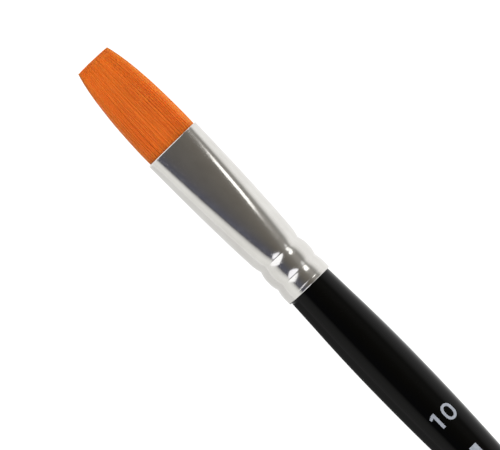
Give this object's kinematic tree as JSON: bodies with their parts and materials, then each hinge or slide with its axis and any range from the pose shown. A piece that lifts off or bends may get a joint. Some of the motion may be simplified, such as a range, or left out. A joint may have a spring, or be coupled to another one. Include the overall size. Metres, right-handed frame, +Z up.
{
  "type": "paint brush",
  "caption": "Flat artist's paint brush: springy orange synthetic hair in a flattened, crimped, nickel-plated ferrule on a short black lacquered handle, for spreading paint.",
  "frame": {"origin": "under the middle of the brush, on the surface that its handle's belly lies on", "axes": "+X along the brush from the handle's end to the hair's tip, +Y across the flat side, +Z up out of the flat side"},
  "size_m": [0.2, 0.01, 0.0087],
  "materials": {
    "lacquer": "gloss",
    "wood": "matte",
    "nickel": "polished",
    "hair": "satin",
    "resin": "gloss",
    "thread": "matte",
    "glue": "satin",
    "ink": "satin"
  },
  "bodies": {
    "handle": {"handle_wood": "wood", "handle_lacquer": "lacquer", "tenon_glue": "glue", "ferrule": "nickel", "hair_root": "hair", "root_binding": "thread", "setting_epoxy": "resin", "size_digit_one": "ink", "size_digit_zero": "ink", "maker_bar": "ink"},
    "tuft": {"hair_tuft": "hair"}
  },
  "joints": [
    {"name": "tuft_bend", "type": "hinge", "parent": "handle", "child": "tuft", "pos_m": [0.08293, 0, 0.00432], "axis": [0, 1, 0], "range_deg": [-35, 35], "stiffness_Nm_per_rad": 0.008}
  ]
}
